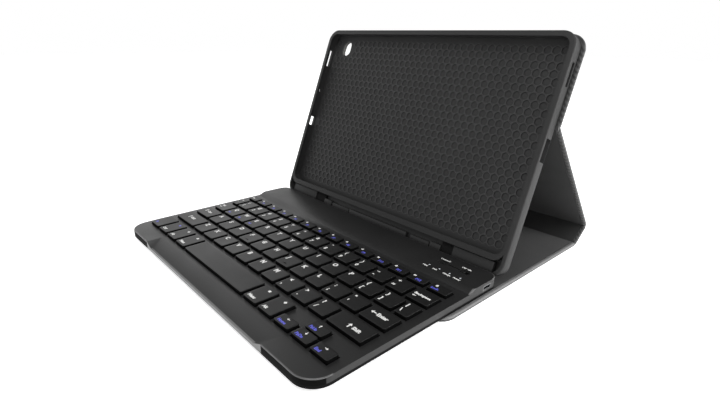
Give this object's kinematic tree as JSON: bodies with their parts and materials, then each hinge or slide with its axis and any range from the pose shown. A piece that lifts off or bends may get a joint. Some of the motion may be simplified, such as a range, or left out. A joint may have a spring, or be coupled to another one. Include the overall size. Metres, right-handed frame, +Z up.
{
  "type": "tablet keyboard case",
  "caption": "Folio case that folds into a stand, with a clip-in tablet tray and a thin detachable keyboard resting on its front cover.",
  "frame": {"origin": "centre of the footprint of the whole open case, on the table under it", "axes": "+Z up from the table, +Y from the keyboard's front edge to the folded spine, +X to the typist's right"},
  "size_m": [0.256, 0.2796, 0.1642],
  "materials": {
    "woven_skin": "fine twill woven cloth",
    "lining": "smooth microfibre lining",
    "greyboard": "plain grey fibre board",
    "magnet": "nickel plated",
    "adhesive": "double-sided adhesive sheet",
    "tray_tpu": "matte moulded TPU",
    "shell_abs": "satin textured ABS",
    "lower_abs": "fine textured ABS",
    "key_abs": "satin ABS",
    "plate_steel": "zinc plated sheet",
    "membrane_film": "polyester film",
    "scissor_pom": "moulded acetal",
    "dome_silicone": "translucent silicone",
    "board_green": "solder mask on glass fibre board",
    "cell_foil": "pouch cell foil",
    "connector_steel": "nickel plated sheet",
    "lamp_pc": "clear moulded light pipe",
    "foot_rubber": "matte silicone rubber",
    "screw_steel": "black zinc screw"
  },
  "bodies": {
    "front_cover": {"front_cover_skin": "woven_skin", "front_cover_board": "greyboard", "front_cover_lining": "lining", "front_cover_magnets": "magnet"},
    "spine": {"spine_skin": "woven_skin", "spine_board": "greyboard", "spine_lining": "lining"},
    "stand_panel": {"stand_panel_skin": "woven_skin", "stand_panel_board": "greyboard", "stand_panel_lining": "lining"},
    "back_panel": {"back_panel_skin": "woven_skin", "back_panel_board": "greyboard", "back_panel_lining": "lining", "tray_adhesive": "adhesive", "tablet_tray": "tray_tpu", "chin_magnets": "magnet"},
    "keyboard": {"keyboard_top_shell": "shell_abs", "keyboard_bottom_shell": "lower_abs", "key_support_plate": "plate_steel", "key_membrane": "membrane_film", "scissor_frames": "scissor_pom", "rubber_domes": "dome_silicone", "circuit_board": "board_green", "battery": "cell_foil", "charge_socket": "connector_steel", "indicator_lamps": "lamp_pc", "button_switch": "connector_steel", "power_switch_base": "connector_steel", "keyboard_magnets": "magnet", "rubber_feet": "foot_rubber", "case_screws": "screw_steel"},
    "power_knob": {"power_switch_knob": "key_abs"},
    "connect_key": {"connect_button": "key_abs"},
    "function_keys": {"function_keys": "key_abs"},
    "number_keys": {"number_keys": "key_abs"},
    "top_letter_keys": {"top_letter_keys": "key_abs"},
    "home_letter_keys": {"home_letter_keys": "key_abs"},
    "bottom_letter_keys": {"bottom_letter_keys": "key_abs"},
    "escape_key": {"escape_key": "key_abs"},
    "lock_key": {"lock_key": "key_abs"},
    "backspace_key": {"backspace_key": "key_abs"},
    "tab_key": {"tab_key": "key_abs"},
    "caps_lock_key": {"caps_lock_key": "key_abs"},
    "enter_key": {"enter_key": "key_abs"},
    "left_shift_key": {"left_shift_key": "key_abs"},
    "right_shift_key": {"right_shift_key": "key_abs"},
    "fn_key": {"fn_key": "key_abs"},
    "ctrl_key": {"ctrl_key": "key_abs"},
    "left_alt_key": {"left_alt_key": "key_abs"},
    "left_system_key": {"left_system_key": "key_abs"},
    "space_key": {"space_key": "key_abs"},
    "right_system_key": {"right_system_key": "key_abs"},
    "right_alt_key": {"right_alt_key": "key_abs"},
    "left_arrow_key": {"left_arrow_key": "key_abs"},
    "up_arrow_key": {"up_arrow_key": "key_abs"},
    "down_arrow_key": {"down_arrow_key": "key_abs"},
    "right_arrow_key": {"right_arrow_key": "key_abs"}
  },
  "joints": [
    {"name": "spine_fold", "type": "hinge", "parent": "front_cover", "child": "spine", "pos_m": [0, 0.12332, 0.0032], "axis": [1, 0, 0], "range_deg": [-36.64, 0]},
    {"name": "stand_fold", "type": "hinge", "parent": "spine", "child": "stand_panel", "pos_m": [0, 0.13776, 0.01394], "axis": [1, 0, 0], "range_deg": [-93.38, 0]},
    {"name": "crease_fold", "type": "hinge", "parent": "stand_panel", "child": "back_panel", "pos_m": [0, 0.06707, 0.10317], "axis": [1, 0, 0], "range_deg": [0, 61.42]},
    {"name": "keyboard_pull", "type": "slide", "parent": "front_cover", "child": "keyboard", "axis": [0, -1, 0], "range_m": [0, 0.055]},
    {"name": "power_slide", "type": "slide", "parent": "keyboard", "child": "power_knob", "axis": [1, 0, 0], "range_m": [0, 0.0026]},
    {"name": "connect_press", "type": "slide", "parent": "keyboard", "child": "connect_key", "axis": [0, 0, -1], "range_m": [0, 0.0003], "stiffness_N_per_m": 900, "springref_m": -0.0004},
    {"name": "function_row_press", "type": "slide", "parent": "keyboard", "child": "function_keys", "axis": [0, 0, -1], "range_m": [0, 0.0015], "stiffness_N_per_m": 2400, "springref_m": -0.0006},
    {"name": "number_row_press", "type": "slide", "parent": "keyboard", "child": "number_keys", "axis": [0, 0, -1], "range_m": [0, 0.0015], "stiffness_N_per_m": 2400, "springref_m": -0.0006},
    {"name": "top_letter_row_press", "type": "slide", "parent": "keyboard", "child": "top_letter_keys", "axis": [0, 0, -1], "range_m": [0, 0.0015], "stiffness_N_per_m": 2400, "springref_m": -0.0006},
    {"name": "home_letter_row_press", "type": "slide", "parent": "keyboard", "child": "home_letter_keys", "axis": [0, 0, -1], "range_m": [0, 0.0015], "stiffness_N_per_m": 2400, "springref_m": -0.0006},
    {"name": "bottom_letter_row_press", "type": "slide", "parent": "keyboard", "child": "bottom_letter_keys", "axis": [0, 0, -1], "range_m": [0, 0.0015], "stiffness_N_per_m": 2400, "springref_m": -0.0006},
    {"name": "escape_press", "type": "slide", "parent": "keyboard", "child": "escape_key", "axis": [0, 0, -1], "range_m": [0, 0.0015], "stiffness_N_per_m": 500, "springref_m": -0.0006},
    {"name": "lock_press", "type": "slide", "parent": "keyboard", "child": "lock_key", "axis": [0, 0, -1], "range_m": [0, 0.0015], "stiffness_N_per_m": 500, "springref_m": -0.0006},
    {"name": "backspace_press", "type": "slide", "parent": "keyboard", "child": "backspace_key", "axis": [0, 0, -1], "range_m": [0, 0.0015], "stiffness_N_per_m": 500, "springref_m": -0.0006},
    {"name": "tab_press", "type": "slide", "parent": "keyboard", "child": "tab_key", "axis": [0, 0, -1], "range_m": [0, 0.0015], "stiffness_N_per_m": 500, "springref_m": -0.0006},
    {"name": "caps_lock_press", "type": "slide", "parent": "keyboard", "child": "caps_lock_key", "axis": [0, 0, -1], "range_m": [0, 0.0015], "stiffness_N_per_m": 500, "springref_m": -0.0006},
    {"name": "enter_press", "type": "slide", "parent": "keyboard", "child": "enter_key", "axis": [0, 0, -1], "range_m": [0, 0.0015], "stiffness_N_per_m": 500, "springref_m": -0.0006},
    {"name": "left_shift_press", "type": "slide", "parent": "keyboard", "child": "left_shift_key", "axis": [0, 0, -1], "range_m": [0, 0.0015], "stiffness_N_per_m": 500, "springref_m": -0.0006},
    {"name": "right_shift_press", "type": "slide", "parent": "keyboard", "child": "right_shift_key", "axis": [0, 0, -1], "range_m": [0, 0.0015], "stiffness_N_per_m": 500, "springref_m": -0.0006},
    {"name": "fn_press", "type": "slide", "parent": "keyboard", "child": "fn_key", "axis": [0, 0, -1], "range_m": [0, 0.0015], "stiffness_N_per_m": 500, "springref_m": -0.0006},
    {"name": "ctrl_press", "type": "slide", "parent": "keyboard", "child": "ctrl_key", "axis": [0, 0, -1], "range_m": [0, 0.0015], "stiffness_N_per_m": 500, "springref_m": -0.0006},
    {"name": "left_alt_press", "type": "slide", "parent": "keyboard", "child": "left_alt_key", "axis": [0, 0, -1], "range_m": [0, 0.0015], "stiffness_N_per_m": 500, "springref_m": -0.0006},
    {"name": "left_system_press", "type": "slide", "parent": "keyboard", "child": "left_system_key", "axis": [0, 0, -1], "range_m": [0, 0.0015], "stiffness_N_per_m": 500, "springref_m": -0.0006},
    {"name": "space_press", "type": "slide", "parent": "keyboard", "child": "space_key", "axis": [0, 0, -1], "range_m": [0, 0.0015], "stiffness_N_per_m": 700, "springref_m": -0.0006},
    {"name": "right_system_press", "type": "slide", "parent": "keyboard", "child": "right_system_key", "axis": [0, 0, -1], "range_m": [0, 0.0015], "stiffness_N_per_m": 500, "springref_m": -0.0006},
    {"name": "right_alt_press", "type": "slide", "parent": "keyboard", "child": "right_alt_key", "axis": [0, 0, -1], "range_m": [0, 0.0015], "stiffness_N_per_m": 500, "springref_m": -0.0006},
    {"name": "left_arrow_press", "type": "slide", "parent": "keyboard", "child": "left_arrow_key", "axis": [0, 0, -1], "range_m": [0, 0.0015], "stiffness_N_per_m": 500, "springref_m": -0.0006},
    {"name": "up_arrow_press", "type": "slide", "parent": "keyboard", "child": "up_arrow_key", "axis": [0, 0, -1], "range_m": [0, 0.0015], "stiffness_N_per_m": 500, "springref_m": -0.0006},
    {"name": "down_arrow_press", "type": "slide", "parent": "keyboard", "child": "down_arrow_key", "axis": [0, 0, -1], "range_m": [0, 0.0015], "stiffness_N_per_m": 500, "springref_m": -0.0006},
    {"name": "right_arrow_press", "type": "slide", "parent": "keyboard", "child": "right_arrow_key", "axis": [0, 0, -1], "range_m": [0, 0.0015], "stiffness_N_per_m": 500, "springref_m": -0.0006}
  ],
  "couplings": [
    {"joint": "spine_fold", "follows": "stand_fold", "ratio": 0.39211},
    {"joint": "crease_fold", "follows": "stand_fold", "ratio": -0.65751}
  ]
}
